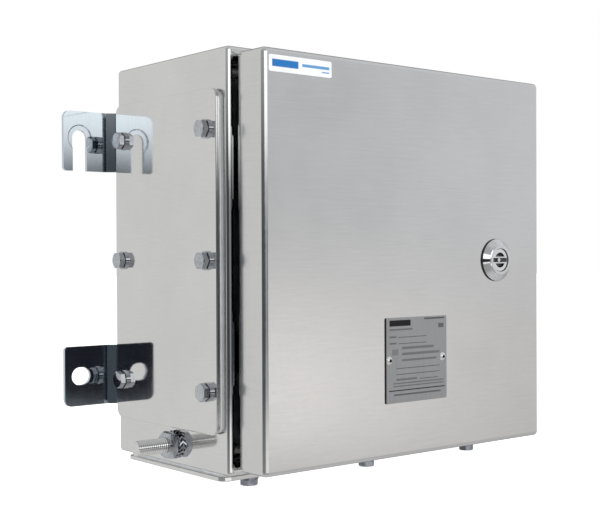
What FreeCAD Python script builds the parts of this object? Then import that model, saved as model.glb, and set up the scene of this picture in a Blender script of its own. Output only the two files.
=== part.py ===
import FreeCAD, Part
import math
import os
from FreeCAD import Vector as V

# Wall-mounted stainless disconnect enclosure. Millimetres. X to the right, Y towards the wall, Z up.
# Origin: midway between the two lower foot holes, on the wall plane (back of the feet).

# Enclosure body
BODY_W = 260.0
BODY_BOTTOM = -51.0
BODY_TOP = 208.2
Z_MID = 79.0
BODY_FRONT = -133.8
BODY_BACK = -6.2
SHEET = 1.5
BEND = 2.4

# Door shell
DOOR_LEFT = -124.5
DOOR_RIGHT = 125.3
DOOR_BOTTOM = -48.5
DOOR_TOP = 204.5
DOOR_FRONT = -161.8
DOOR_RIM = -138.0
DOOR_BEND = 3.0

# Front frame of the body: lip, then a rim standing forward into the door
RIM_INSET = 18.2
RIM_FRONT = -154.3

# Concealed hinges
PIN_X = -120.7
PIN_Y = -147.4
PIN_R = 1.2
KNUCKLE_R = 2.0
HINGE_LEN = 50.0
HINGE_Z = (22.8, 135.0)
HINGE_TAB = 0.9

# Gland plates and their screws
PLATE_T = 2.5
SIDE_GASKET_T = 2.0
SIDE_PLATE_W = 117.0
SIDE_PLATE_H = 210.4
SIDE_PLATE_Z = 78.3
SIDE_PLATE_Y = -69.6
SIDE_SCREW_Y = -69.1
BOTTOM_GASKET_T = 2.5
BOTTOM_PLATE_W = 254.0
BOTTOM_PLATE_D = 112.0
BOTTOM_PLATE_X = -1.0
BOTTOM_PLATE_Y = -68.5
BOTTOM_SCREW_Y = -67.5
SCREW_R = 3.0
SCREW_AF = 10.0
SCREW_HEAD = 4.0
SCREW_NECK = 0.5
WASHER_R = 6.0
WASHER_T = 1.6
SIDE_PITCH_Z = 80.0
SIDE_PITCH_Y = 97.0
BOTTOM_PITCH_X = 100.0
BOTTOM_PITCH_Y = 98.0
BOTTOM_SCREW_X = -2.0
# how far each side screw happens to be turned, front column upwards, then rear column upwards
SIDE_TURNS = (0.0, 30.0, 26.0, 14.0, 34.0, 2.0)

# Mounting feet
FOOT_T = 2.5
FOOT_H = 40.0
FOOT_END = 169.1
FOOT_HOLE_X = 157.0
FOOT_SPACING_Z = 160.0
FOOT_LOWER_Z = 0.0
FOOT_UPPER_Z = 157.9
FOOT_RISE = 1.3
FOOT_HOLE_R = 6.0
FOOT_HOLE_LEN = 14.0
FOOT_SLOT_R = 5.3

# Quarter-turn lock
LOCK_X = 79.1
LOCK_Z = 78.1
LOCK_SEAL_T = 0.8
CAM_REACH = 40.0
CAM_GAP = 0.9

# Earthing stud through the left wall
EARTH_Y = -75.6
EARTH_Z = -38.2
EARTH_R = 4.87
EARTH_NUT_AF = 16.0
EARTH_PITCH = 1.5
EARTH_NUT_T = 5.8
EARTH_WASHER_T = 2.6
EARTH_WASHER_R = 9.0
EARTH_OUT = 29.5

# Interior
PANEL_W = 206.0
PANEL_H = 206.0
PANEL_BACK = -19.7
PANEL_T = 2.0
RAIL_LEN = 190.0
RAIL_D = 7.5
POLES = 3
POLE_PITCH = 17.1
SWITCH_X = -58.0
FUSE_Y = -53.0
CARRIER_PIVOT_Y = -74.0
CARRIER_PIVOT_Z = 56.0
BLOCK_T = 6.2
BLOCK_COUNT = 6
BLOCK_X = 4.0

LEFT = -BODY_W / 2
RIGHT = BODY_W / 2
BOTTOM = BODY_BOTTOM
TOP = BODY_TOP
PANEL_FRONT = PANEL_BACK - PANEL_T
RAIL_FRONT = PANEL_FRONT - RAIL_D


def box(x0, x1, y0, y1, z0, z1):
    return Part.makeBox(x1 - x0, y1 - y0, z1 - z0, V(x0, y0, z0))


def cyl(r, start, end):
    a = V(*start)
    d = V(*end) - a
    return Part.makeCylinder(r, d.Length, a, d)


def tube(r_out, r_in, start, end):
    return cyl(r_out, start, end).cut(cyl(r_in, start, end))


def hexagon(af, start, end, turn=0.0):
    """Hexagonal prism along X, Y or Z between two points."""
    a = V(*start)
    d = V(*end) - a
    u = V(0, 0, 1) if abs(d.z) < 0.5 * d.Length else V(1, 0, 0)
    w = d.cross(u)
    w.normalize()
    r = af / math.sqrt(3)
    pts = []
    for i in range(7):
        t = math.radians(60 * i + turn)
        pts.append(a + u * (r * math.cos(t)) + w * (r * math.sin(t)))
    return Part.Face(Part.makePolygon(pts)).extrude(d)


def parallel_edges(shape, axis):
    """Straight edges that run along one axis."""
    found = []
    for e in shape.Edges:
        if isinstance(e.Curve, Part.Line):
            t = e.Vertexes[-1].Point - e.Vertexes[0].Point
            if abs(abs(getattr(t, axis)) - t.Length) < 1e-6:
                found.append(e)
    return found


def rounded_box(x0, x1, y0, y1, z0, z1, r, axis):
    """Box whose four edges along one axis are rounded."""
    b = box(x0, x1, y0, y1, z0, z1)
    return b.makeFillet(r, parallel_edges(b, axis))


def profile(points, plane, start, length):
    """Extrude a closed outline. plane 'xy', 'yz' or 'xz' names the two coordinates of each point."""
    where = {"xy": (0, 1, 2), "yz": (1, 2, 0), "xz": (0, 2, 1)}[plane]
    pts = []
    for p in points + [points[0]]:
        c = [0.0, 0.0, 0.0]
        c[where[0]] = p[0]
        c[where[1]] = p[1]
        c[where[2]] = start
        pts.append(V(*c))
    d = [0.0, 0.0, 0.0]
    d[where[2]] = length
    return Part.Face(Part.makePolygon(pts)).extrude(V(*d))


def union(shapes):
    whole = shapes[0]
    for s in shapes[1:]:
        whole = whole.fuse(s)
    return whole.removeSplitter()


def group(shapes):
    return Part.makeCompound(shapes)


def mirror_x(shape):
    return shape.mirror(V(0, 0, 0), V(1, 0, 0))


def rim_window(grow):
    """Outline of the body's front opening, grown outwards by a wall thickness."""
    return (
        DOOR_LEFT + RIM_INSET - grow,
        DOOR_RIGHT - RIM_INSET + grow,
        DOOR_BOTTOM + RIM_INSET - grow,
        DOOR_TOP - RIM_INSET + grow,
    )


def side_screw_points():
    pts = []
    for j in (-0.5, 0.5):
        for i in (-1, 0, 1):
            pts.append((SIDE_SCREW_Y + j * SIDE_PITCH_Y, Z_MID + i * SIDE_PITCH_Z))
    return pts


def bottom_screw_points():
    pts = []
    for j in (-0.5, 0.5):
        for i in (-1, 0, 1):
            pts.append((BOTTOM_SCREW_X + i * BOTTOM_PITCH_X, BOTTOM_SCREW_Y + j * BOTTOM_PITCH_Y))
    return pts


def panel_stud_points():
    s = PANEL_W / 2 - 10
    return [(x, Z_MID + z) for x in (-s, s) for z in (-s, s)]


# ---------------------------------------------------------------- enclosure


def enclosure_body():
    outer = box(LEFT, RIGHT, BODY_FRONT, BODY_BACK, BOTTOM, TOP)
    outer = outer.makeFillet(BEND, outer.Edges)
    inner = box(LEFT + SHEET, RIGHT - SHEET, BODY_FRONT + SHEET, BODY_BACK - SHEET,
                BOTTOM + SHEET, TOP - SHEET)
    inner = inner.makeFillet(BEND - SHEET, inner.Edges)
    shell = outer.cut(inner)
    x0, x1, z0, z1 = rim_window(SHEET)
    rim = rounded_box(x0, x1, RIM_FRONT, BODY_FRONT + SHEET, z0, z1, 4.0, "y")
    shell = shell.fuse(rim)
    x0, x1, z0, z1 = rim_window(0.0)
    shell = shell.cut(rounded_box(x0, x1, RIM_FRONT - 1, BODY_FRONT + SHEET + 1, z0, z1, 2.5, "y"))
    y, z = SIDE_PLATE_Y, Z_MID
    cuts = [rounded_box(LEFT - 1, LEFT + 5, y - 40, y + 40, z - 90, z + 90, 6, "x")]
    x = BOTTOM_PLATE_X
    y = BOTTOM_PLATE_Y
    cuts.append(rounded_box(x - 112, x + 112, y - 40, y + 40, BOTTOM - 1, BOTTOM + 5, 6, "z"))
    for y, z in side_screw_points():
        cuts.append(cyl(SCREW_R + 0.3, (LEFT - 1, y, z), (LEFT + 4, y, z)))
    for x, y in bottom_screw_points():
        cuts.append(cyl(SCREW_R + 0.3, (x, y, BOTTOM - 1), (x, y, BOTTOM + 4)))
    cuts.append(cyl(EARTH_R + 0.3, (LEFT - 1, EARTH_Y, EARTH_Z), (LEFT + 4, EARTH_Y, EARTH_Z)))
    # mitre grooves where the lips meet at the four front corners
    for sx, cx, wx in ((-1, LEFT, x0), (1, RIGHT, x1)):
        for cz, wz in ((BOTTOM, z0 - SHEET), (TOP, z1 + SHEET)):
            run = V(wx - sx * SHEET - cx, 0, wz - cz)
            across = V(-run.z, 0, run.x)
            across.normalize()
            start = V(cx, BODY_FRONT - 1, cz) - across * 0.25
            pts = [start, start + across * 0.5, start + across * 0.5 + run, start + run, start]
            cuts.append(Part.Face(Part.makePolygon(pts)).extrude(V(0, 1.3, 0)))
    for c in cuts:
        shell = shell.cut(c)
    # weld beads that close the lip mitres on the hinge side
    for z in (BOTTOM + 3.6, TOP - 3.6):
        shell = shell.fuse(Part.makeSphere(1.0, V(LEFT + 3.6, BODY_FRONT + 0.25, z)))
    return shell.removeSplitter()


def side_gland_plate():
    x1 = LEFT - SIDE_GASKET_T
    y0 = SIDE_PLATE_Y - SIDE_PLATE_W / 2
    z0 = SIDE_PLATE_Z - SIDE_PLATE_H / 2
    p = rounded_box(x1 - PLATE_T, x1, y0, y0 + SIDE_PLATE_W, z0, z0 + SIDE_PLATE_H, 6.5, "x")
    for y, z in side_screw_points():
        p = p.cut(cyl(SCREW_R + 0.3, (x1 - 5, y, z), (x1 + 1, y, z)))
    outer = [e for e in p.Edges if abs(e.CenterOfMass.x - (x1 - PLATE_T)) < 1e-6 and e.Length > 5
             and not (isinstance(e.Curve, Part.Circle) and e.Curve.Radius < 4)]
    return p.makeFillet(0.6, outer)


def side_gland_gasket():
    y0 = SIDE_PLATE_Y - SIDE_PLATE_W / 2 + 1.2
    y1 = SIDE_PLATE_Y + SIDE_PLATE_W / 2 - 1.2
    z0 = SIDE_PLATE_Z - SIDE_PLATE_H / 2 + 1.2
    z1 = SIDE_PLATE_Z + SIDE_PLATE_H / 2 - 1.2
    g = rounded_box(LEFT - SIDE_GASKET_T, LEFT, y0, y1, z0, z1, 5.3, "x")
    g = g.cut(rounded_box(LEFT - 4, LEFT + 1, y0 + 17, y1 - 17, z0 + 14, z1 - 14, 6, "x"))
    for y, z in side_screw_points():
        g = g.cut(cyl(SCREW_R + 0.3, (LEFT - 5, y, z), (LEFT + 1, y, z)))
    return g


def bottom_gland_plate():
    z1 = BOTTOM - BOTTOM_GASKET_T
    x0 = BOTTOM_PLATE_X - BOTTOM_PLATE_W / 2
    y0 = BOTTOM_PLATE_Y - BOTTOM_PLATE_D / 2
    p = rounded_box(x0, x0 + BOTTOM_PLATE_W, y0, y0 + BOTTOM_PLATE_D, z1 - PLATE_T, z1, 6.5, "z")
    for x, y in bottom_screw_points():
        p = p.cut(cyl(SCREW_R + 0.3, (x, y, z1 - 5), (x, y, z1 + 1)))
    outer = [e for e in p.Edges if abs(e.CenterOfMass.z - (z1 - PLATE_T)) < 1e-6 and e.Length > 5
             and not (isinstance(e.Curve, Part.Circle) and e.Curve.Radius < 4)]
    return p.makeFillet(0.6, outer)


def bottom_gland_gasket():
    x0 = BOTTOM_PLATE_X - BOTTOM_PLATE_W / 2 + 1.5
    x1 = BOTTOM_PLATE_X + BOTTOM_PLATE_W / 2 - 1.5
    y0 = BOTTOM_PLATE_Y - BOTTOM_PLATE_D / 2 + 1.5
    y1 = BOTTOM_PLATE_Y + BOTTOM_PLATE_D / 2 - 1.5
    g = rounded_box(x0, x1, y0, y1, BOTTOM - BOTTOM_GASKET_T, BOTTOM, 5.3, "z")
    g = g.cut(rounded_box(x0 + 14, x1 - 14, y0 + 15, y1 - 15, BOTTOM - 4, BOTTOM + 1, 6, "z"))
    for x, y in bottom_screw_points():
        g = g.cut(cyl(SCREW_R + 0.3, (x, y, BOTTOM - 5), (x, y, BOTTOM + 1)))
    return g


def hex_screw(seat, inward, length, turn=0.0):
    """Hex head screw seated at a point; inward is the unit vector into the joint."""
    s = V(*seat)
    d = V(*inward)
    head_end = s - d * SCREW_HEAD
    neck_end = s - d * SCREW_NECK
    head = hexagon(SCREW_AF, tuple(neck_end), tuple(head_end), turn)
    # turned chamfer on the outer face of the head
    cone = Part.makeCone(SCREW_AF * 0.5, SCREW_AF * 0.5 + SCREW_HEAD * 1.8, SCREW_HEAD, head_end, d)
    head = head.common(cone)
    neck = Part.makeCylinder(4.5, SCREW_NECK, neck_end, d)
    shank = Part.makeCylinder(SCREW_R - 0.1, length, s, d)
    return head.fuse(neck).fuse(shank).removeSplitter()


def ring_washer(seat, outward, r_out, r_in, t):
    s = V(*seat)
    d = V(*outward)
    w = Part.makeCylinder(r_out, t, s, d)
    return w.cut(Part.makeCylinder(r_in, t, s, d))


def side_plate_screws():
    face = LEFT - SIDE_GASKET_T - PLATE_T - WASHER_T
    points = side_screw_points()
    return group([hex_screw((face, y, z), (1, 0, 0), 15.0, t) for (y, z), t in zip(points, SIDE_TURNS)])


def side_plate_washers():
    face = LEFT - SIDE_GASKET_T - PLATE_T
    return group([ring_washer((face, y, z), (-1, 0, 0), WASHER_R, SCREW_R + 0.2, WASHER_T)
                  for y, z in side_screw_points()])


def side_plate_nuts():
    x = LEFT + SHEET
    nuts = []
    for y, z in side_screw_points():
        n = hexagon(SCREW_AF, (x, y, z), (x + 5, y, z))
        nuts.append(n.cut(cyl(SCREW_R + 0.05, (x, y, z), (x + 5, y, z))))
    return group(nuts)


def bottom_plate_screws():
    face = BOTTOM - BOTTOM_GASKET_T - PLATE_T - WASHER_T
    return group([hex_screw((x, y, face), (0, 0, 1), 15.0, 20.0) for x, y in bottom_screw_points()])


def bottom_plate_washers():
    face = BOTTOM - BOTTOM_GASKET_T - PLATE_T
    return group([ring_washer((x, y, face), (0, 0, -1), WASHER_R, SCREW_R + 0.2, WASHER_T)
                  for x, y in bottom_screw_points()])


def bottom_plate_nuts():
    z = BOTTOM + SHEET
    nuts = []
    for x, y in bottom_screw_points():
        n = hexagon(SCREW_AF, (x, y, z), (x, y, z + 5))
        nuts.append(n.cut(cyl(SCREW_R + 0.05, (x, y, z), (x, y, z + 5))))
    return group(nuts)


# ------------------------------------------------------------ mounting feet


def foot_strip(z_mid):
    """Left-hand strip: flat behind the body, a joggle, then the flat that meets the wall."""
    t = FOOT_T
    pts = [
        (-85.0, BODY_BACK), (-132.0, BODY_BACK), (-136.9, -t), (-FOOT_END, -t),
        (-FOOT_END, 0.0), (-135.9, 0.0), (-131.0, BODY_BACK + t), (-85.0, BODY_BACK + t),
    ]
    strip = profile(pts, "xy", z_mid - FOOT_H / 2, FOOT_H)
    outer = [e for e in parallel_edges(strip, "y") if e.CenterOfMass.x < -FOOT_END + 1]
    far = 1 if z_mid > Z_MID else -1
    rounded = [e for e in outer if (e.CenterOfMass.z - z_mid) * far > 0]
    strip = strip.makeFillet(5.0, rounded)
    outer = [e for e in parallel_edges(strip, "y")
             if e.CenterOfMass.x < -FOOT_END + 1 and (e.CenterOfMass.z - z_mid) * far < -FOOT_H / 2 + 1]
    return strip.makeChamfer(1.5, outer)


def foot_lower_left():
    strip = foot_strip(FOOT_LOWER_Z)
    r = FOOT_HOLE_R
    dx = FOOT_HOLE_LEN / 2 - r
    x = -FOOT_HOLE_X
    slot = union([
        cyl(r, (x - dx, -5, 0), (x - dx, 2, 0)),
        cyl(r, (x + dx, -5, 0), (x + dx, 2, 0)),
        box(x - dx, x + dx, -5, 2, -r, r),
    ])
    return strip.cut(slot)


def foot_upper_left():
    strip = foot_strip(FOOT_UPPER_Z)
    r = FOOT_SLOT_R
    x = -FOOT_HOLE_X
    z = FOOT_SPACING_Z
    slot = cyl(r, (x, -5, z), (x, 2, z)).fuse(box(x - r, x + r, -5, 2, z - 40, z))
    # screw-head seat pressed around the slot's closed end
    seat = Part.makeCone(r + 3.7, r + 2.9, 0.8, V(x, -FOOT_T, z), V(0, 1, 0))
    return strip.cut(seat).cut(slot)


# ------------------------------------------------------------- earthing stud


def earth_stud():
    """Threaded stud through the wall, its thread drawn as shallow rings."""
    core = EARTH_R - 0.35
    half = EARTH_PITCH / 2 - 0.05
    rod = cyl(core + 0.05, (LEFT - EARTH_OUT, EARTH_Y, EARTH_Z), (LEFT + 16, EARTH_Y, EARTH_Z))
    turns = []
    x = LEFT - EARTH_OUT + half
    while x < LEFT + 14.6:
        turns.append(Part.makeCone(core, EARTH_R, half, V(x, EARTH_Y, EARTH_Z), V(1, 0, 0)))
        turns.append(Part.makeCone(EARTH_R, core, half, V(x + half, EARTH_Y, EARTH_Z), V(1, 0, 0)))
        x += EARTH_PITCH
    return union([rod] + turns)


def earth_nuts():
    nuts = []
    r = EARTH_NUT_AF / 2
    for x, d in ((LEFT - EARTH_WASHER_T, -1), (LEFT + SHEET + 1.6, 1)):
        end = x + d * EARTH_NUT_T
        n = hexagon(EARTH_NUT_AF, (x, EARTH_Y, EARTH_Z), (end, EARTH_Y, EARTH_Z), 26.0)
        outer = Part.makeCone(r + 2.7, r - 0.3, EARTH_NUT_T - 2, V(x + d * 2, EARTH_Y, EARTH_Z), V(d, 0, 0))
        inner = Part.makeCone(r - 0.1, r + 1.8, 2.0, V(x, EARTH_Y, EARTH_Z), V(d, 0, 0))
        n = n.common(outer.fuse(inner))
        nuts.append(n.cut(cyl(EARTH_R + 0.05, (x - d, EARTH_Y, EARTH_Z), (end + d * 2, EARTH_Y, EARTH_Z))))
    return group(nuts)


def earth_toothed_washer():
    """External-tooth lock washer between the nut and the wall, its teeth twisted out of the flat."""
    x = LEFT - EARTH_WASHER_T
    mid = LEFT - EARTH_WASHER_T / 2
    ring = cyl(7.5, (mid - 0.5, EARTH_Y, EARTH_Z), (mid + 0.5, EARTH_Y, EARTH_Z))
    teeth = []
    count = 18
    for i in range(count):
        tooth = Part.makeBox(4.6, 1.0, EARTH_WASHER_R - 6.7, V(-2.3, -0.5, 6.7))
        tooth.rotate(V(0, 0, 0), V(0, 0, 1), 40)
        tooth.rotate(V(0, 0, 0), V(1, 0, 0), 360.0 * i / count)
        tooth.translate(V(mid, EARTH_Y, EARTH_Z))
        teeth.append(tooth)
    w = union([ring] + teeth)
    w = w.common(box(x, LEFT, EARTH_Y - 20, EARTH_Y + 20, EARTH_Z - 20, EARTH_Z + 20))
    return w.cut(cyl(EARTH_R + 0.2, (x - 1, EARTH_Y, EARTH_Z), (LEFT + 1, EARTH_Y, EARTH_Z)))


def earth_inner_washer():
    x = LEFT + SHEET
    return ring_washer((x, EARTH_Y, EARTH_Z), (1, 0, 0), 10.0, EARTH_R + 0.2, 1.6)


# --------------------------------------------------------------------- door


def door_shell():
    outer = box(DOOR_LEFT, DOOR_RIGHT, DOOR_FRONT, DOOR_RIM, DOOR_BOTTOM, DOOR_TOP)
    edges = [e for e in outer.Edges if e.CenterOfMass.y < DOOR_RIM - 1]
    outer = outer.makeFillet(DOOR_BEND, edges)
    s = SHEET
    inner = box(DOOR_LEFT + s, DOOR_RIGHT - s, DOOR_FRONT + s, DOOR_RIM + 5, DOOR_BOTTOM + s, DOOR_TOP - s)
    edges = [e for e in inner.Edges if e.CenterOfMass.y < DOOR_RIM + 4]
    inner = inner.makeFillet(DOOR_BEND - s, edges)
    shell = outer.cut(inner)
    for z in HINGE_Z:
        h = HINGE_LEN / 2
        shell = shell.fuse(box(DOOR_LEFT, DOOR_LEFT + s, DOOR_RIM - 3, DOOR_RIM + HINGE_TAB, z - h, z + h))
    shell = shell.removeSplitter()
    shell = shell.cut(cyl(11.3, (LOCK_X, DOOR_FRONT - 1, LOCK_Z), (LOCK_X, DOOR_FRONT + 4, LOCK_Z)))
    for x in (-24.1, 24.8):
        shell = shell.cut(cyl(1.7, (x, DOOR_FRONT - 1, 14.4), (x, DOOR_FRONT + 4, 14.4)))
    # faint dimples left by the hinge spot welds
    for z in (34.3, 125.5):
        shell = shell.cut(Part.makeSphere(20.0, V(DOOR_LEFT - 19.8, -148.6, z)))
    return shell


def door_gasket():
    m = RIM_INSET - 0.75
    w = 6.0
    y0 = DOOR_FRONT + SHEET
    y1 = RIM_FRONT - 0.2
    a = rounded_box(DOOR_LEFT + m - w, DOOR_RIGHT - m + w, y0, y1,
                    DOOR_BOTTOM + m - w, DOOR_TOP - m + w, 9, "y")
    b = rounded_box(DOOR_LEFT + m + w, DOOR_RIGHT - m - w, y0 - 1, y1 + 1,
                    DOOR_BOTTOM + m + w, DOOR_TOP - m - w, 4, "y")
    return a.cut(b)


def hinge_door_leaves():
    leaves = []
    x0 = DOOR_LEFT + SHEET
    end = 12.0
    for z in HINGE_Z:
        h = HINGE_LEN / 2
        parts = [box(x0, x0 + 1.0, -158.0, -151.3, z - h, z + h)]
        for z0, z1 in ((z - h, z - h + end), (z + h - end, z + h)):
            parts.append(box(x0, x0 + 1.0, -152.0, PIN_Y, z0, z1))
            parts.append(cyl(KNUCKLE_R, (PIN_X, PIN_Y, z0), (PIN_X, PIN_Y, z1)))
        leaf = union(parts)
        leaf = leaf.common(box(x0, x0 + 20, -160, -130, z - h, z + h))
        leaf = leaf.cut(cyl(PIN_R + 0.06, (PIN_X, PIN_Y, z - h - 1), (PIN_X, PIN_Y, z + h + 1)))
        leaves.append(leaf)
    return group(leaves)


def hinge_body_leaves():
    """Goose-neck leaves: base welded on the lip, arm along the rim, knuckle around the pin."""
    leaves = []
    rim_x = DOOR_LEFT + RIM_INSET - SHEET
    for z in HINGE_Z:
        h = HINGE_LEN / 2 - 12.3
        base = box(DOOR_LEFT - 3.0, rim_x, BODY_FRONT - 0.8, BODY_FRONT, z - 19, z + 19)
        arm = box(rim_x - 1.0, rim_x, PIN_Y - KNUCKLE_R, BODY_FRONT, z - h, z + h)
        reach = box(PIN_X, rim_x, PIN_Y - KNUCKLE_R, PIN_Y - KNUCKLE_R + 1.0, z - h, z + h)
        knuckle = cyl(KNUCKLE_R, (PIN_X, PIN_Y, z - h), (PIN_X, PIN_Y, z + h))
        leaf = union([base, arm, reach, knuckle])
        leaf = leaf.cut(cyl(PIN_R + 0.06, (PIN_X, PIN_Y, z - h - 1), (PIN_X, PIN_Y, z + h + 1)))
        leaves.append(leaf)
    return group(leaves)


def hinge_pins():
    pins = []
    for z in HINGE_Z:
        h = HINGE_LEN / 2
        pin = cyl(PIN_R, (PIN_X, PIN_Y, z - h - 1), (PIN_X, PIN_Y, z + h))
        head = cyl(KNUCKLE_R - 0.1, (PIN_X, PIN_Y, z + h + 0.3), (PIN_X, PIN_Y, z + h + 1.5))
        neck = cyl(PIN_R, (PIN_X, PIN_Y, z + h), (PIN_X, PIN_Y, z + h + 0.3))
        pins.append(union([pin, neck, head]))
    return group(pins)


def rating_plate():
    p = rounded_box(-27.3, 28.6, DOOR_FRONT - 0.6, DOOR_FRONT, -13.3, 41.6, 1.0, "y")
    for x in (-24.1, 24.8):
        p = p.cut(cyl(1.7, (x, DOOR_FRONT - 2, 14.4), (x, DOOR_FRONT + 1, 14.4)))
    return p


def plate_rivets():
    rivets = []
    for x in (-24.1, 24.8):
        y = DOOR_FRONT - 0.6
        body = cyl(1.6, (x, y, 14.4), (x, DOOR_FRONT + SHEET + 1.5, 14.4))
        dome = Part.makeSphere(3.4, V(x, y + 2.0, 14.4)).common(box(x - 4, x + 4, y - 4, y, 10, 19))
        rivet = body.fuse(dome).removeSplitter()
        rivets.append(rivet.cut(cyl(0.9, (x, y - 3, 14.4), (x, y - 0.5, 14.4))))
    return group(rivets)


def door_label():
    return rounded_box(-121.0 + 0.6, -71.7, DOOR_FRONT - 0.15, DOOR_FRONT, 190.2, 200.1, 1.2, "y")


# --------------------------------------------------------------------- lock


def lock_housing():
    """Flanged sleeve in the door with a coned chrome front and a threaded barrel behind."""
    f = DOOR_FRONT
    outline = [
        (8.1, f - 4.6), (9.9, f - 4.6), (10.7, f - 4.3), (14.5, f - 1.2), (14.5, f - LOCK_SEAL_T),
        (11.1, f - LOCK_SEAL_T),
        (11.1, f + 20.0), (6.4, f + 20.0), (6.4, f + 1.0), (8.1, f + 1.0),
    ]
    pts = [V(LOCK_X + r, y, LOCK_Z) for r, y in outline]
    face = Part.Face(Part.makePolygon(pts + [pts[0]]))
    return face.revolve(V(LOCK_X, 0, LOCK_Z), V(0, 1, 0), 360)


def lock_seal():
    """Black sealing ring between the lock's flange and the door."""
    y = DOOR_FRONT - LOCK_SEAL_T
    ring = cyl(14.7, (LOCK_X, y, LOCK_Z), (LOCK_X, DOOR_FRONT, LOCK_Z))
    return ring.cut(cyl(11.3, (LOCK_X, y - 1, LOCK_Z), (LOCK_X, DOOR_FRONT + 1, LOCK_Z)))


def lock_ring_nut():
    y = DOOR_FRONT + SHEET
    n = hexagon(27.0, (LOCK_X, y, LOCK_Z), (LOCK_X, y + 5, LOCK_Z))
    return n.cut(cyl(11.2, (LOCK_X, y - 1, LOCK_Z), (LOCK_X, y + 6, LOCK_Z)))


def lock_rotor():
    """Rotor with a double-bit key post standing in a recess, key slots either side of it."""
    f = DOOR_FRONT
    x, z = LOCK_X, LOCK_Z
    front = f - 3.9
    rotor = cyl(7.6, (x, front, z), (x, f + 0.8, z)).fuse(cyl(6.3, (x, f, z), (x, f + 30.3, z)))
    rotor = rotor.cut(cyl(5.2, (x, f - 6, z), (x, f + 3.0, z)))
    lands = []
    for sgn in (-1, 1):
        z0, z1 = sorted((z + sgn * 1.5, z + sgn * 2.3))
        lands.append(box(x - 5.4, x + 5.4, front, f + 3.5, z0, z1))
        rotor = rotor.fuse(lands[-1].common(cyl(6.0, (x, front, z), (x, f + 4, z))))
    rotor = rotor.cut(box(x - 7.0, x + 7.0, f - 6, f - 1.0, z - 1.5, z + 1.5))
    post = cyl(1.3, (x, f - 3.0, z), (x, f + 3.5, z))
    square = box(x - 4, x + 4, f + 30, f + 33.2, z - 4, z + 4)
    stem = cyl(2.95, (x, f + 33, z), (x, f + 40, z))
    return union([rotor, post, square, stem])


def lock_cam():
    """Cam on the rotor's square. At rest it hangs down, clear of the body's lip."""
    y0 = BODY_FRONT + SHEET + CAM_GAP
    y1 = y0 + 3.0
    x, z = LOCK_X, LOCK_Z
    hub = cyl(9.0, (x, y0, z), (x, y1, z))
    arm = profile([(x - 8.5, z), (x - 7.0, z - CAM_REACH + 1), (x - 6, z - CAM_REACH),
                   (x + 6, z - CAM_REACH), (x + 7.0, z - CAM_REACH + 1), (x + 8.5, z)], "xz", y0, y1 - y0)
    cam = union([hub, arm])
    return cam.cut(box(x - 4.05, x + 4.05, y0 - 1, y1 + 1, z - 4.05, z + 4.05))


def cam_nut():
    y0 = BODY_FRONT + SHEET + CAM_GAP + 3.0
    n = hexagon(10.0, (LOCK_X, y0, LOCK_Z), (LOCK_X, y0 + 5, LOCK_Z))
    return n.cut(cyl(3.0, (LOCK_X, y0 - 1, LOCK_Z), (LOCK_X, y0 + 6, LOCK_Z)))


# ----------------------------------------------------------------- interior


def panel_studs():
    y1 = BODY_BACK - SHEET
    return group([cyl(2.9, (x, PANEL_FRONT - 10, z), (x, y1, z)) for x, z in panel_stud_points()])


def panel_spacers():
    y1 = BODY_BACK - SHEET
    return group([tube(6.0, 3.1, (x, PANEL_BACK, z), (x, y1, z)) for x, z in panel_stud_points()])


def panel_nuts():
    nuts = []
    for x, z in panel_stud_points():
        n = hexagon(10.0, (x, PANEL_FRONT - 5, z), (x, PANEL_FRONT, z))
        nuts.append(n.cut(cyl(2.95, (x, PANEL_FRONT - 6, z), (x, PANEL_FRONT + 1, z))))
    return group(nuts)


def mounting_panel():
    w = PANEL_W / 2
    h = PANEL_H / 2
    p = rounded_box(-w, w, PANEL_FRONT, PANEL_BACK, Z_MID - h, Z_MID + h, 4.0, "y")
    for x, z in panel_stud_points():
        p = p.cut(cyl(3.2, (x, PANEL_FRONT - 1, z), (x, PANEL_BACK + 1, z)))
    for x in (-85.0, 85.0):
        p = p.cut(cyl(2.1, (x, PANEL_FRONT - 1, Z_MID), (x, PANEL_BACK + 1, Z_MID)))
    return p


def din_rail():
    """Top-hat rail, 35 mm high and 7.5 mm deep."""
    t = 1.0
    b = PANEL_FRONT
    f = RAIL_FRONT
    half = [(b, 0.0), (b, 13.5 - t), (f + t, 13.5 - t), (f + t, 17.5), (f, 17.5), (f, 13.5 - 2 * t),
            (b - t, 13.5 - 2 * t), (b - t, 0.0)]
    upper = profile([(y, Z_MID + z) for y, z in half], "yz", -RAIL_LEN / 2, RAIL_LEN)
    lower = profile([(y, Z_MID - z) for y, z in half], "yz", -RAIL_LEN / 2, RAIL_LEN)
    rail = upper.fuse(lower).removeSplitter()
    for x in (-85.0, 85.0):
        rail = rail.cut(cyl(2.3, (x, f - 1, Z_MID), (x, b + 1, Z_MID)))
    return rail


def rail_screws():
    screws = []
    for x in (-85.0, 85.0):
        seat = PANEL_FRONT - 1.0
        head = cyl(4.0, (x, seat - 2.6, Z_MID), (x, seat, Z_MID))
        slot = box(x - 3.2, x + 3.2, seat - 3, seat - 1.6, Z_MID - 0.5, Z_MID + 0.5)
        cross = box(x - 0.5, x + 0.5, seat - 3, seat - 1.6, Z_MID - 3.2, Z_MID + 3.2)
        shank = cyl(2.0, (x, seat, Z_MID), (x, PANEL_BACK + 3, Z_MID))
        screws.append(head.cut(slot).cut(cross).fuse(shank).removeSplitter())
    return group(screws)


def pole_centres():
    return [SWITCH_X + (i - 1) * POLE_PITCH for i in range(POLES)]


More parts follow.
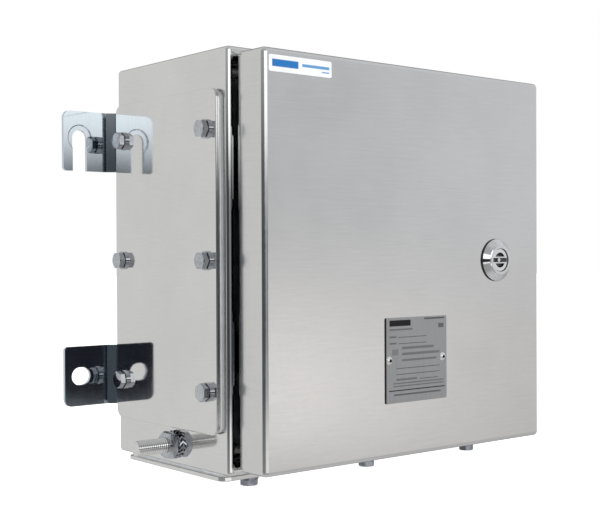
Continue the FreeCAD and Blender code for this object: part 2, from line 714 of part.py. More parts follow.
def switch_base():
    """Moulded three-pole base: one cavity a pole, open at the front, with terminal shoulders."""
    w = POLES * POLE_PITCH / 2 + 0.8
    x0 = SWITCH_X - w
    x1 = SWITCH_X + w
    outline = [
        (RAIL_FRONT - 0.2, 38.5), (-58.0, 38.5), (-60.0, 40.5), (-60.0, 48.5), (-74.0, 48.5), (-80.0, 51.0),
        (-80.0, 62.0), (-76.5, 66.0), (-76.5, 112.0), (-60.0, 112.0), (-60.0, 117.5), (-58.0, 119.5),
        (RAIL_FRONT - 0.2, 119.5),
    ]
    base = profile(outline, "yz", x0, x1 - x0)
    # rail feet that hook over and under the rail
    for z0, z1 in ((54.0, 61.0), (97.0, 104.0)):
        base = base.fuse(box(x0, x1, RAIL_FRONT - 0.3, RAIL_FRONT + 5, z0, z1))
    for x in pole_centres():
        c = box(x - 7.95, x + 7.95, -95, -43.0, 49.3, 110.8)
        base = base.cut(c)
        for z in (112.0, 33.0):
            base = base.cut(box(x - 5.0, x + 5.0, -61, -52.0, z, z + 14))
        for z0, z1 in ((88.0, 121.0), (37.0, 72.0)):
            base = base.cut(box(x - 6.4, x + 6.4, -46.8, -42.5, z0, z1).cut(
                box(x - 7, x + 7, -47, -42, 110.8, 121.0)).cut(box(x - 7, x + 7, -47, -42, 36.0, 49.3)))
            base = base.cut(box(x - 3.2, x + 3.2, -52.5, -44.9, z0, z1))
    base = base.cut(cyl(1.55, (x0 - 1, CARRIER_PIVOT_Y, CARRIER_PIVOT_Z),
                        (x1 + 1, CARRIER_PIVOT_Y, CARRIER_PIVOT_Z)))
    return base.removeSplitter()


def switch_contacts():
    """Six fork clips that grip the caps of the fuse links, each with a strap to its terminal."""
    clips = []
    for x in pole_centres():
        for z_cap, z_end in ((91.0, 117.0), (63.0, 41.0)):
            web = box(x - 6.1, x + 6.1, -45.8, -45.0, z_cap - 4, z_cap + 4)
            left = box(x - 6.1, x - 5.4, -56.5, -45.0, z_cap - 4, z_cap + 4)
            right = box(x + 5.4, x + 6.1, -56.5, -45.0, z_cap - 4, z_cap + 4)
            z0, z1 = min(z_cap, z_end), max(z_cap, z_end)
            strap = box(x - 3.0, x + 3.0, -45.8, -45.0, z0, z1)
            tab_z = z_end - 0.8 if z_end > z_cap else z_end
            tab = box(x - 3.0, x + 3.0, -52.0, -45.0, tab_z, tab_z + 0.8)
            clips.append(union([web, left, right, strap, tab]))
    return group(clips)


def switch_terminals():
    """Cage terminal with its screw behind each wire entry."""
    cages = []
    for x in pole_centres():
        for z in (112.4, 38.9):
            cage = box(x - 4.6, x + 4.6, -59.0, -52.4, z, z + 6.4)
            cage = cage.cut(box(x - 3.2, x + 3.2, -58.0, -53.4, z - 1, z + 8))
            screw = cyl(3.0, (x, -60.2, z + 3.2), (x, -57.2, z + 3.2))
            screw = screw.cut(box(x - 2.6, x + 2.6, -61, -59.4, z + 2.8, z + 3.6))
            cages.append(cage.fuse(screw).removeSplitter())
    return group(cages)


def fuse_carriers():
    """Three swing-out carriers, each a channel around its fuse link with a finger grip at the top."""
    carriers = []
    py, pz = CARRIER_PIVOT_Y, CARRIER_PIVOT_Z
    for x in pole_centres():
        outline = [(-80.0, pz), (-80.0, 92.0), (-88.0, 96.0), (-88.0, 101.0), (-86.0, 103.0), (-60.0, 103.0),
                   (-48.0, 99.0), (-46.2, 90.0), (-46.2, 50.6), (py, 50.0)]
        body = profile(outline, "yz", x - 7.75, 15.5)
        body = body.fuse(cyl(6.0, (x - 7.75, py, pz), (x + 7.75, py, pz)))
        body = body.cut(box(x - 8, x + 8, py - 8, py, 40, pz).cut(cyl(6.0, (x - 9, py, pz), (x + 9, py, pz))))
        body = body.cut(box(x - 6.55, x + 6.55, -59.5, -40, 40, 110))
        bore = cyl(5.3, (x, FUSE_Y, 57.8), (x, FUSE_Y, 96.2))
        body = body.cut(bore)
        # cradle ends that hold the link at both tips
        lower = box(x - 5.1, x + 5.1, -60.0, -46.6, 50.6, 57.6)
        upper = box(x - 6.55, x + 6.55, -60.0, -50.0, 96.4, 101.0)
        body = union([body, lower, upper])
        body = body.cut(cyl(1.6, (x - 9, py, pz), (x + 9, py, pz)))
        body = body.cut(cyl(2.05, (x - 9, -84.0, 99.0), (x + 9, -84.0, 99.0)))
        for i in range(3):
            body = body.cut(box(x - 5, x + 5, -80.6, -79.5, 70.0 + 5 * i, 71.6 + 5 * i))
        carriers.append(body)
    return group(carriers)


def carrier_tie_bar():
    w = POLES * POLE_PITCH / 2 - 0.5
    return cyl(2.0, (SWITCH_X - w, -84.0, 99.0), (SWITCH_X + w, -84.0, 99.0))


def carrier_pivot_pin():
    w = POLES * POLE_PITCH / 2 + 1.6
    return cyl(1.5, (SWITCH_X - w, CARRIER_PIVOT_Y, CARRIER_PIVOT_Z),
               (SWITCH_X + w, CARRIER_PIVOT_Y, CARRIER_PIVOT_Z))


def fuse_barrels():
    return group([cyl(4.8, (x, FUSE_Y, 59.0), (x, FUSE_Y, 95.0)) for x in pole_centres()])


def fuse_caps():
    caps = []
    for x in pole_centres():
        for z0, z1, a, b in ((58.0, 68.0, 59.0, 69.0), (86.0, 96.0, 85.0, 95.0)):
            cap = cyl(5.15, (x, FUSE_Y, z0), (x, FUSE_Y, z1))
            caps.append(cap.cut(cyl(4.8, (x, FUSE_Y, a), (x, FUSE_Y, b))))
    return group(caps)


def block_outline(x0, t, earth):
    h = 21.0
    outline = [(RAIL_FRONT - 0.2, Z_MID - h), (-48.0, Z_MID - h), (-58.0, Z_MID - 13), (-62.0, Z_MID - 9),
               (-62.0, Z_MID + 9), (-58.0, Z_MID + 13), (-48.0, Z_MID + h), (RAIL_FRONT - 0.2, Z_MID + h)]
    b = profile(outline, "yz", x0, t)
    for s in (-1, 1):
        z0, z1 = sorted((Z_MID + s * 18.0, Z_MID + s * 21.0))
        b = b.fuse(box(x0, x0 + t, RAIL_FRONT - 0.3, RAIL_FRONT + 4.5, z0, z1))
        xc = x0 + t / 2
        b = b.cut(cyl(1.9, (xc, -63, Z_MID + s * 5.0), (xc, -52, Z_MID + s * 5.0)))
        b = b.cut(cyl(1.7, (xc, -44, Z_MID + s * 8.0), (xc, -44, Z_MID + s * 23.0)))
    return b.removeSplitter()


def terminal_blocks():
    return group([block_outline(BLOCK_X + i * BLOCK_T, BLOCK_T - 0.1, False) for i in range(BLOCK_COUNT)])


def earth_terminals():
    x = BLOCK_X + BLOCK_COUNT * BLOCK_T
    return group([block_outline(x + i * BLOCK_T, BLOCK_T - 0.1, True) for i in range(2)])


def terminal_screws():
    screws = []
    for i in range(BLOCK_COUNT + 2):
        xc = BLOCK_X + (i + 0.5) * BLOCK_T - 0.05
        for s in (-1, 1):
            z = Z_MID + s * 5.0
            head = cyl(1.8, (xc, -60.5, z), (xc, -52.2, z))
            screws.append(head.cut(box(xc - 1.5, xc + 1.5, -61.5, -59.8, z - 0.3, z + 0.3)))
    return group(screws)


def end_stops():
    stops = []
    for x0 in (BLOCK_X - 8.2, BLOCK_X + (BLOCK_COUNT + 2) * BLOCK_T + 0.2, SWITCH_X - 35.5):
        s = box(x0, x0 + 8.0, -50.0, RAIL_FRONT - 0.2, Z_MID - 21, Z_MID + 21)
        for sgn in (-1, 1):
            z0, z1 = sorted((Z_MID + sgn * 18.0, Z_MID + sgn * 21.0))
            s = s.fuse(box(x0, x0 + 8.0, RAIL_FRONT - 0.3, RAIL_FRONT + 4.5, z0, z1))
        s = s.cut(cyl(2.6, (x0 + 4, -51, Z_MID), (x0 + 4, -46, Z_MID)))
        stops.append(s.removeSplitter())
    return group(stops)


NODES = {
    "enclosure_body": enclosure_body,
    "side_gland_plate": side_gland_plate,
    "side_gland_gasket": side_gland_gasket,
    "side_plate_screws": side_plate_screws,
    "side_plate_washers": side_plate_washers,
    "side_plate_nuts": side_plate_nuts,
    "bottom_gland_plate": bottom_gland_plate,
    "bottom_gland_gasket": bottom_gland_gasket,
    "bottom_plate_screws": bottom_plate_screws,
    "bottom_plate_washers": bottom_plate_washers,
    "bottom_plate_nuts": bottom_plate_nuts,
    "foot_upper_left": foot_upper_left,
    "foot_upper_right": lambda: mirror_x(foot_upper_left()),
    "foot_lower_left": foot_lower_left,
    "foot_lower_right": lambda: mirror_x(foot_lower_left()),
    "earth_stud": earth_stud,
    "earth_nuts": earth_nuts,
    "earth_toothed_washer": earth_toothed_washer,
    "earth_inner_washer": earth_inner_washer,
    "hinge_body_leaves": hinge_body_leaves,
    "hinge_pins": hinge_pins,
    "panel_studs": panel_studs,
    "panel_spacers": panel_spacers,
    "panel_nuts": panel_nuts,
    "mounting_panel": mounting_panel,
    "din_rail": din_rail,
    "rail_screws": rail_screws,
    "switch_base": switch_base,
    "switch_contacts": switch_contacts,
    "switch_terminals": switch_terminals,
    "carrier_pivot_pin": carrier_pivot_pin,
    "terminal_blocks": terminal_blocks,
    "earth_terminals": earth_terminals,
    "terminal_screws": terminal_screws,
    "end_stops": end_stops,
    "door_shell": door_shell,
    "door_gasket": door_gasket,
    "hinge_door_leaves": hinge_door_leaves,
    "rating_plate": rating_plate,
    "plate_rivets": plate_rivets,
    "door_label": door_label,
    "lock_housing": lock_housing,
    "lock_seal": lock_seal,
    "lock_ring_nut": lock_ring_nut,
    "lock_rotor": lock_rotor,
    "lock_cam": lock_cam,
    "cam_nut": cam_nut,
    "fuse_carriers": fuse_carriers,
    "carrier_tie_bar": carrier_tie_bar,
    "fuse_barrels": fuse_barrels,
    "fuse_caps": fuse_caps,
}

os.makedirs("parts", exist_ok=True)
for name, make in NODES.items():
    shape = make()
    # the feet are drawn about the lower foot holes; everything else sits FOOT_RISE lower on them
    if not name.startswith("foot_"):
        shape.translate(V(0, 0, -FOOT_RISE))
    if not shape.isValid():
        print("invalid shape:", name)
    shape.exportStep("parts/" + name + ".step")
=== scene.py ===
import math

import bmesh
import bpy
from mathutils import Matrix, Vector


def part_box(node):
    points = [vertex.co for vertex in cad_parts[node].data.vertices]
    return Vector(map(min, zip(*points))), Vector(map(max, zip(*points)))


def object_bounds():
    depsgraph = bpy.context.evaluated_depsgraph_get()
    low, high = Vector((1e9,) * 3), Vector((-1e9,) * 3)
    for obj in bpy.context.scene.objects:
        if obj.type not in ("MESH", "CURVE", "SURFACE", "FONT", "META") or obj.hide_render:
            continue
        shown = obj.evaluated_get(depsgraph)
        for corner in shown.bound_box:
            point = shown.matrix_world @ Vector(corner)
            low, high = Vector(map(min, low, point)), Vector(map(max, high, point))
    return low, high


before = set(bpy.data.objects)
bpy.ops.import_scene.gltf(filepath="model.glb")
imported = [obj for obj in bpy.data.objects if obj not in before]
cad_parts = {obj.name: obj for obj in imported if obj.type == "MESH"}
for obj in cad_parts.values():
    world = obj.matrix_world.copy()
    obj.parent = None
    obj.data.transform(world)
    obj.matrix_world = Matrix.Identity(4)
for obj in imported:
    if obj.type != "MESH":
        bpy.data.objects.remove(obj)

cad_lo, cad_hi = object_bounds()

# lengths in metres and angles in degrees, unless the name says millimetres; SOFT widths are shares of the piece
CAMERA_PLACE = (-0.5381, -0.6966, 0.0814)
CAMERA_YAW, CAMERA_PITCH, CAMERA_ROLL = 39.498, -0.511, -0.235
CAMERA_LENS_MM, CAMERA_SENSOR_MM = 69.5, 36.0
CAMERA_NEAR, CAMERA_FAR = 0.01, 50.0
FLOOR_HALF = 6.0
FLOOR_BELOW = 0.0005
FLOOR_GLOW = 0.9
RIVET_SHADE_IN, RIVET_SHADE_OUT = 0.0009, 0.0013
PLATE_EDGE_IN, PLATE_EDGE_OUT = 0.0004, 0.0009
PLATE_SOFT = 0.006
LABEL_SOFT_ACROSS, LABEL_SOFT_UP = 0.012, 0.06


# ---------------------------------------------------------------- node helper
class Net:
    """A node tree, built by calls that return output sockets."""

    def __init__(self, tree, keep=False):
        self.tree = tree
        if not keep:
            tree.nodes.clear()

    def node(self, kind, **settings):
        n = self.tree.nodes.new(kind)
        for key, value in settings.items():
            setattr(n, key, value)
        return n

    def feed(self, socket, value):
        if isinstance(value, bpy.types.NodeSocket):
            self.tree.links.new(value, socket)
        elif isinstance(value, tuple) and socket.type == "RGBA" and len(value) == 3:
            socket.default_value = value + (1.0,)
        else:
            socket.default_value = value

    def math(self, op, a, b=0.0):
        n = self.node("ShaderNodeMath", operation=op)
        for socket, value in zip(n.inputs, (a, b)):
            self.feed(socket, value)
        return n.outputs[0]

    def ramp(self, value, x0, x1, y0=0.0, y1=1.0, kind="SMOOTHSTEP"):
        """value mapped from x0..x1 to y0..y1, held at both ends."""
        n = self.node("ShaderNodeMapRange", interpolation_type=kind, clamp=True)
        if x0 > x1:
            x0, x1, y0, y1 = x1, x0, y1, y0
        for socket, v in zip(n.inputs, (value, x0, x1, y0, y1)):
            self.feed(socket, v)
        return n.outputs[0]

    def window(self, value, lo, hi, soft):
        """1 between lo and hi, falling to 0 over soft on each side."""
        up = self.ramp(value, lo - soft / 2, lo + soft / 2)
        down = self.ramp(value, hi + soft / 2, hi - soft / 2)
        return self.math("MULTIPLY", up, down)

    def mix(self, share, a, b):
        n = self.node("ShaderNodeMix", data_type="RGBA")
        n.clamp_factor = True
        self.feed(n.inputs[0], share)
        self.feed(n.inputs[6], a)
        self.feed(n.inputs[7], b)
        return n.outputs[2]

    def place(self, scale=(1, 1, 1)):
        """The object's own coordinates, in metres, scaled per axis."""
        c = self.node("ShaderNodeTexCoord").outputs["Object"]
        m = self.node("ShaderNodeMapping")
        self.feed(m.inputs["Vector"], c)
        m.inputs["Scale"].default_value = scale
        return m.outputs[0]

    def xyz(self):
        s = self.node("ShaderNodeSeparateXYZ")
        self.feed(s.inputs[0], self.node("ShaderNodeTexCoord").outputs["Object"])
        return s.outputs

    def noise(self, where, scale, detail=3.0, rough=0.55):
        n = self.node("ShaderNodeTexNoise")
        self.feed(n.inputs["Vector"], where)
        n.inputs["Scale"].default_value = scale
        n.inputs["Detail"].default_value = detail
        n.inputs["Roughness"].default_value = rough
        return n.outputs[0]

    def bump(self, height, strength, distance):
        n = self.node("ShaderNodeBump")
        n.inputs["Strength"].default_value = strength
        n.inputs["Distance"].default_value = distance
        self.feed(n.inputs["Height"], height)
        return n.outputs[0]


def shader(name):
    """A new material, its node tree and its Principled shader."""
    m = bpy.data.materials.new(name)
    m.use_nodes = True
    net = Net(m.node_tree)
    out = net.node("ShaderNodeOutputMaterial")
    p = net.node("ShaderNodeBsdfPrincipled")
    net.tree.links.new(p.outputs[0], out.inputs[0])
    return m, net, p


def reopened(m):
    """A finished material's node tree, its shader, and the output that colours it."""
    net = Net(m.node_tree, keep=True)
    p = next(n for n in net.tree.nodes if n.type == "BSDF_PRINCIPLED")
    return net, p, p.inputs["Base Color"].links[0].from_socket


# ---------------------------------------------------------------- materials
def steel(name, light, dark, rough, spread, grain=(1, 1, 1), fine=900.0, bump=0.02, depth=0.00002):
    """Metal with a fine grain stretched along one axis, and slow changes of finish over the sheet."""
    m, net, p = shader(name)
    lines = net.noise(net.place(grain), fine, 4.0, 0.6)
    clouds = net.noise(net.place(), 22.0, 3.0, 0.5)
    spots = net.noise(net.place(), 260.0, 5.0, 0.7)
    tone = net.math("ADD", net.math("MULTIPLY", lines, 0.5), net.math("MULTIPLY", clouds, 0.5))
    net.feed(p.inputs["Base Color"], net.mix(net.ramp(tone, 0.35, 0.65), dark, light))
    p.inputs["Metallic"].default_value = 1.0
    finish = net.math("ADD", net.math("MULTIPLY", clouds, 0.6), net.math("MULTIPLY", spots, 0.4))
    net.feed(p.inputs["Roughness"], net.ramp(finish, 0.3, 0.7, rough - spread, rough + spread))
    net.feed(p.inputs["Normal"], net.bump(lines, bump, depth))
    return m


def moulded(name, light, dark, rough=0.45):
    """Moulded plastic: a fine pebbled skin, slightly uneven in colour and gloss."""
    m, net, p = shader(name)
    pebble = net.noise(net.place(), 2600.0, 3.0, 0.6)
    clouds = net.noise(net.place(), 60.0, 3.0, 0.5)
    net.feed(p.inputs["Base Color"], net.mix(net.ramp(clouds, 0.35, 0.65), dark, light))
    net.feed(p.inputs["Roughness"], net.ramp(pebble, 0.3, 0.7, rough - 0.06, rough + 0.06))
    net.feed(p.inputs["Normal"], net.bump(pebble, 0.25, 0.00004))
    return m


def rubber(name, light, dark, cells, rough=0.8):
    """Rubber or foam with a fine grit, dusted unevenly."""
    m, net, p = shader(name)
    grit = net.noise(net.place(), cells, 4.0, 0.65)
    dust = net.noise(net.place(), 90.0, 3.0, 0.6)
    net.feed(p.inputs["Base Color"], net.mix(net.ramp(dust, 0.35, 0.7), dark, light))
    net.feed(p.inputs["Roughness"], net.ramp(grit, 0.3, 0.7, rough - 0.08, rough + 0.08))
    net.feed(p.inputs["Normal"], net.bump(grit, 0.5, 0.00012))
    return m


def label_material():
    """White printed film with plain blue bars."""
    m, net, p = shader("label_film")
    x, _, z = net.xyz()
    lo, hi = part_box("door_label")
    u = net.ramp(x, lo.x, hi.x, 0.0, 1.0, "LINEAR")
    v = net.ramp(z, lo.z, hi.z, 0.0, 1.0, "LINEAR")

    def bar(u0, u1, v0, v1):
        across = net.window(u, u0, u1, LABEL_SOFT_ACROSS)
        return net.math("MULTIPLY", across, net.window(v, v0, v1, LABEL_SOFT_UP))

    big = bar(0.05, 0.46, 0.30, 0.74)
    thin = net.math("MAXIMUM", bar(0.52, 0.96, 0.46, 0.64), bar(0.84, 0.96, 0.24, 0.32))
    clouds = net.noise(net.place(), 120.0, 3.0, 0.5)
    paper = net.mix(net.ramp(clouds, 0.3, 0.7), (0.86, 0.87, 0.88), (0.92, 0.93, 0.94))
    inked = net.mix(big, paper, (0.0, 0.16, 0.48))
    inked = net.mix(thin, inked, (0.10, 0.32, 0.60))
    net.feed(p.inputs["Base Color"], inked)
    net.feed(p.inputs["Roughness"], net.ramp(clouds, 0.3, 0.7, 0.25, 0.4))
    return m


def plate_material():
    """Satin etched plate with rows of plain bars and rules, and a dark strip along its left edge."""
    m = steel("etched_plate", (0.42, 0.425, 0.43), (0.36, 0.365, 0.37), 0.42, 0.05, (40, 1, 1), 60.0, 0.05)
    net, p, base = reopened(m)
    x, _, z = net.xyz()
    lo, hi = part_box("rating_plate")
    u = net.ramp(x, lo.x, hi.x, 0.0, 1.0, "LINEAR")
    v = net.ramp(z, lo.z, hi.z, 0.0, 1.0, "LINEAR")
    rows = [
        # left, right, bottom and top as shares of the plate, then strength
        (0.06, 0.40, 0.90, 0.97, 1.0), (0.62, 0.96, 0.965, 0.985, 0.7), (0.86, 0.95, 0.86, 0.91, 0.6),
        (0.06, 0.43, 0.85, 0.87, 0.5), (0.06, 0.17, 0.765, 0.785, 0.5), (0.20, 0.66, 0.765, 0.772, 0.8),
        (0.06, 0.17, 0.69, 0.71, 0.5), (0.20, 0.66, 0.69, 0.697, 0.8), (0.26, 0.78, 0.625, 0.655, 0.45),
        (0.10, 0.20, 0.56, 0.63, 0.3), (0.26, 0.88, 0.555, 0.585, 0.45), (0.26, 0.83, 0.485, 0.51, 0.45),
        (0.17, 0.88, 0.40, 0.407, 0.8), (0.17, 0.88, 0.33, 0.337, 0.8), (0.17, 0.50, 0.26, 0.285, 0.45),
        (0.55, 0.85, 0.26, 0.267, 0.8), (0.12, 0.95, 0.222, 0.236, 0.5), (0.12, 0.95, 0.188, 0.202, 0.5),
        (0.05, 0.97, 0.14, 0.152, 1.0), (0.13, 0.90, 0.085, 0.105, 0.6),
    ]
    ink = None
    for u0, u1, v0, v1, strength in rows:
        bar = net.math("MULTIPLY", net.window(u, u0, u1, PLATE_SOFT), net.window(v, v0, v1, PLATE_SOFT))
        bar = net.math("MULTIPLY", bar, strength)
        ink = bar if ink is None else net.math("MAXIMUM", ink, bar)
    printed = net.mix(ink, base, (0.03, 0.03, 0.033))
    # a dark strip along the plate's left edge
    edge = net.ramp(x, lo.x + PLATE_EDGE_IN, lo.x + PLATE_EDGE_OUT, 1.0, 0.0)
    net.feed(p.inputs["Base Color"], net.mix(edge, printed, (0.05, 0.05, 0.053)))
    return m


def rivet_material():
    """Bright rivet domes with a painted dark spot in the middle of each: painted shade standing in for the
    mandrel hole.
    """
    m = steel("rivet_bright", (0.86, 0.86, 0.86), (0.78, 0.78, 0.79), 0.30, 0.05, (1, 1, 1), 500.0, 0.03)
    net, p, base = reopened(m)
    x, _, z = net.xyz()
    lo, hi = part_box("plate_rivets")
    dome = (hi.z - lo.z) / 2
    middle = (lo.x + hi.x) / 2
    spread = (hi.x - lo.x) / 2 - dome
    across = net.math("SUBTRACT", net.math("ABSOLUTE", net.math("SUBTRACT", x, middle)), spread)
    up = net.math("SUBTRACT", z, lo.z + dome)
    off = net.math("SQRT", net.math("ADD", net.math("POWER", across, 2.0), net.math("POWER", up, 2.0)))
    # painted shade of the mandrel hole: a near-black spot in the middle of each dome
    painted_hole_shade = net.ramp(off, RIVET_SHADE_IN, RIVET_SHADE_OUT, 1.0, 0.0)
    net.feed(p.inputs["Base Color"], net.mix(painted_hole_shade, base, (0.02, 0.02, 0.02)))
    return m


BODY = steel("stainless_polished", (0.70, 0.70, 0.695), (0.66, 0.66, 0.655), 0.07, 0.02,
             (1, 1, 40), 60.0, 0.01)
DOOR = steel("stainless_satin", (0.67, 0.67, 0.668), (0.63, 0.63, 0.628), 0.15, 0.03,
             (1, 1, 40), 60.0, 0.02)
FOOT = steel("stainless_foot", (0.63, 0.70, 0.76), (0.58, 0.64, 0.69), 0.06, 0.02,
             (30, 1, 1), 60.0, 0.02)
FIXING = steel("fixing_steel", (0.52, 0.54, 0.57), (0.34, 0.36, 0.39), 0.08, 0.03,
               (1, 1, 1), 400.0, 0.04)
# darker copy of the fixing steel: painted shade for the bolts under the bottom of the box, which are the same
# bolts as on the side
FIXING_SHADED = steel("fixing_painted_shade", (0.34, 0.36, 0.39), (0.15, 0.16, 0.18), 0.14, 0.04,
             (1, 1, 1), 400.0, 0.05)
STUD = steel("stud_steel", (0.72, 0.72, 0.71), (0.62, 0.62, 0.62), 0.07, 0.03,
             (1, 1, 1), 300.0, 0.03)
CHROME = steel("lock_chrome", (0.70, 0.71, 0.72), (0.62, 0.63, 0.64), 0.07, 0.02,
               (1, 1, 1), 500.0, 0.04)
# lighter, rougher copy of the lock chrome: the rougher finish is real, and the lighter colour is painted light
# that brightens the shaded rotor recess
ROTOR_CHROME_LIT = steel("lock_rotor_lightened", (0.80, 0.81, 0.82), (0.70, 0.71, 0.73), 0.18, 0.04,
               (1, 1, 1), 500.0, 0.04)
PLATED = steel("plated_steel", (0.66, 0.67, 0.66), (0.55, 0.56, 0.55), 0.28, 0.06,
               (1, 1, 20), 90.0, 0.05)
ETCHED = plate_material()
RIVET = rivet_material()
COPPER = steel("contact_copper", (0.80, 0.48, 0.32), (0.66, 0.36, 0.22), 0.3, 0.08,
               (1, 1, 1), 500.0, 0.1)
CAP = steel("cap_metal", (0.78, 0.76, 0.70), (0.68, 0.66, 0.60), 0.24, 0.06,
            (1, 1, 1), 500.0, 0.08)
LABEL = label_material()
BLACK = rubber("seal_black", (0.020, 0.020, 0.022), (0.012, 0.012, 0.013), 2400.0, 0.6)
SEAL = rubber("seal_light", (0.80, 0.81, 0.82), (0.70, 0.71, 0.72), 1800.0, 0.6)
FOAM = rubber("seal_foam", (0.30, 0.34, 0.36), (0.22, 0.25, 0.27), 3200.0, 0.9)
GREY = moulded("moulding_grey", (0.44, 0.46, 0.47), (0.38, 0.40, 0.41))
DARK = moulded("moulding_dark", (0.045, 0.047, 0.05), (0.03, 0.031, 0.033))
BEIGE = moulded("moulding_beige", (0.66, 0.62, 0.52), (0.58, 0.54, 0.45))
EARTH = moulded("moulding_earth", (0.55, 0.60, 0.05), (0.10, 0.30, 0.08))
CERAMIC = moulded("barrel_ceramic", (0.82, 0.80, 0.76), (0.74, 0.72, 0.68), 0.3)

FINISHES = {
    "enclosure_body": BODY, "side_gland_plate": BODY, "bottom_gland_plate": BODY,
    "door_shell": DOOR,
    "side_gland_gasket": SEAL, "bottom_gland_gasket": SEAL, "door_gasket": FOAM,
    "side_plate_screws": FIXING, "side_plate_washers": FIXING, "side_plate_nuts": FIXING,
    # the bottom bolts get the darker copy of the fixing steel: painted shade under the box
    "bottom_plate_screws": FIXING_SHADED, "bottom_plate_washers": FIXING_SHADED, "bottom_plate_nuts": FIXING,
    "foot_upper_left": FOOT, "foot_upper_right": FOOT, "foot_lower_left": FOOT, "foot_lower_right": FOOT,
    "earth_stud": STUD, "earth_nuts": FIXING, "earth_toothed_washer": FIXING, "earth_inner_washer": FIXING,
    "hinge_body_leaves": BODY, "hinge_door_leaves": BODY, "hinge_pins": FIXING,
    "panel_studs": FIXING, "panel_spacers": PLATED, "panel_nuts": FIXING,
    "mounting_panel": PLATED, "din_rail": PLATED, "rail_screws": FIXING,
    "switch_base": GREY, "switch_contacts": COPPER, "switch_terminals": PLATED, "carrier_pivot_pin": FIXING,
    "terminal_blocks": BEIGE, "earth_terminals": EARTH, "terminal_screws": FIXING, "end_stops": DARK,
    "rating_plate": ETCHED, "plate_rivets": RIVET, "door_label": LABEL,
    # the rotor gets the lightened chrome copy: painted light in its deep recess
    "lock_housing": CHROME, "lock_seal": BLACK, "lock_ring_nut": PLATED, "lock_rotor": ROTOR_CHROME_LIT,
    "lock_cam": PLATED, "cam_nut": FIXING,
    "fuse_carriers": DARK, "carrier_tie_bar": DARK, "fuse_barrels": CERAMIC, "fuse_caps": CAP,
}
for node, material in FINISHES.items():
    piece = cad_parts[node]
    if not piece.data.materials:
        piece.data.materials.append(material)
    for slot in piece.material_slots:
        slot.material = material
missed = sorted(set(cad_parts) - set(FINISHES))
assert not missed, missed


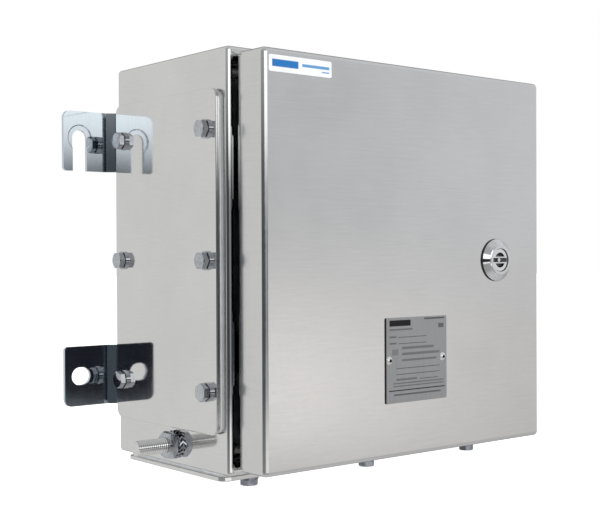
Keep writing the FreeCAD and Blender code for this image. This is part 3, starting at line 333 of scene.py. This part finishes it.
# ---------------------------------------------------------------- studio
def studio():
    """White surroundings for the camera, and a room of broad soft panels for everything that reflects."""
    w = bpy.data.worlds.new("studio")
    bpy.context.scene.world = w
    w.use_nodes = True
    net = Net(w.node_tree)
    s = net.node("ShaderNodeSeparateXYZ")
    net.feed(s.inputs[0], net.node("ShaderNodeTexCoord").outputs["Generated"])
    x, y, z = s.outputs
    degrees = math.degrees(1.0)
    az = net.math("MULTIPLY", net.math("ARCTAN2", x, net.math("MULTIPLY", y, -1.0)), degrees)
    el = net.math("MULTIPLY", net.math("ARCSINE", z), degrees)

    def panel(col, colour, sides, heights=None, soft=4.0):
        """The room so far, with a soft-edged panel hung between two azimuths and two elevations."""
        share = net.window(az, sides[0], sides[1], soft)
        if heights:
            share = net.math("MULTIPLY", share, net.window(el, heights[0], heights[1], soft))
        return net.mix(share, col, colour)

    # walls and ceiling: azimuth 0 is straight out from the door, positive to its right
    col = net.mix(net.ramp(el, -30, 30), (0.42, 0.42, 0.42), (0.50, 0.51, 0.52))
    col = panel(col, (0.80, 0.80, 0.79), (-178, -118))
    # large sheet of diffuser in front of the door, lit unevenly: warm from the floor, cool from above
    across = net.ramp(az, 36, 52)
    low = net.mix(across, (1.18, 1.14, 1.12), (0.74, 0.72, 0.71))
    high = net.mix(across, (0.65, 0.66, 0.67), (0.80, 0.81, 0.83))
    col = panel(col, net.mix(net.ramp(el, -7, 3), low, high), (33, 97))
    col = panel(col, (0.62, 0.62, 0.62), (33, 97), (-60, -10), 3.0)
    # black drapes on the left, then two strip lamps, above and below a dark gap
    col = panel(col, (0.07, 0.08, 0.09), (-112, -35), (-10, 7), 6.0)
    col = panel(col, (0.02, 0.02, 0.03), (-37, 33), (-8, 5), 1.5)
    col = panel(col, (0.30, 0.31, 0.32), (-24, 24), (-8, 5), 2.0)
    col = panel(col, (1.8, 1.8, 1.8), (-37, 33), (5, 22), 4.0)
    col = panel(col, (1.2, 1.2, 1.2), (-37, 33), (-14, -8), 2.0)
    # soft ceiling, pale ground, and the dimmer room behind the box
    col = net.mix(net.ramp(el, 42, 56), col, (0.7, 0.7, 0.7))
    col = net.mix(net.ramp(el, -38, -55), col, (0.7, 0.7, 0.7))
    col = panel(col, (0.30, 0.30, 0.31), (112, 165), (5, 58), 8.0)
    seen = net.node("ShaderNodeBackground")
    seen.inputs[0].default_value = (1, 1, 1, 1)
    lit = net.node("ShaderNodeBackground")
    net.feed(lit.inputs[0], col)
    pick = net.node("ShaderNodeMixShader")
    net.feed(pick.inputs[0], net.node("ShaderNodeLightPath").outputs["Is Camera Ray"])
    net.feed(pick.inputs[1], lit.outputs[0])
    net.feed(pick.inputs[2], seen.outputs[0])
    out = net.node("ShaderNodeOutputWorld")
    net.feed(out.inputs[0], pick.outputs[0])


def floor():
    """Pale floor under the lowest screw, faintly glowing and kept out of reflections."""
    bm = bmesh.new()
    bmesh.ops.create_grid(bm, x_segments=1, y_segments=1, size=FLOOR_HALF)
    me = bpy.data.meshes.new("floor")
    bm.to_mesh(me)
    bm.free()
    o = bpy.data.objects.new("floor", me)
    bpy.context.scene.collection.objects.link(o)
    o.location = (0, 0, cad_lo.z - FLOOR_BELOW)
    m, net, p = shader("floor_pale")
    cloud = net.noise(net.place(), 3.0, 2.0, 0.5)
    net.feed(p.inputs["Base Color"], net.mix(cloud, (0.88, 0.88, 0.88), (0.91, 0.91, 0.91)))
    p.inputs["Roughness"].default_value = 0.9
    p.inputs["Emission Color"].default_value = (1, 1, 1, 1)
    p.inputs["Emission Strength"].default_value = FLOOR_GLOW
    me.materials.append(m)
    o.visible_glossy = False


def camera():
    """Near the height of the box's middle, 39.5 degrees round to its left."""
    data = bpy.data.cameras.new("camera")
    cam = bpy.data.objects.new("camera", data)
    bpy.context.scene.collection.objects.link(cam)
    data.sensor_width = CAMERA_SENSOR_MM
    data.sensor_fit = "HORIZONTAL"
    data.lens = CAMERA_LENS_MM
    yaw, pitch, roll = (math.radians(a) for a in (CAMERA_YAW, CAMERA_PITCH, CAMERA_ROLL))
    ahead = Vector((math.sin(yaw) * math.cos(pitch), math.cos(yaw) * math.cos(pitch), math.sin(pitch)))
    right = Vector((math.cos(yaw), -math.sin(yaw), 0))
    up = right.cross(ahead)
    right, up = (right * math.cos(roll) + up * math.sin(roll), up * math.cos(roll) - right * math.sin(roll))
    turn = Matrix((right, up, -ahead)).transposed().to_4x4()
    cam.matrix_world = Matrix.Translation(Vector(CAMERA_PLACE)) @ turn
    data.clip_start, data.clip_end = CAMERA_NEAR, CAMERA_FAR
    bpy.context.scene.camera = cam


studio()
floor()
camera()
bpy.context.scene.view_settings.view_transform = "Standard"
bpy.context.scene.view_settings.look = "None"
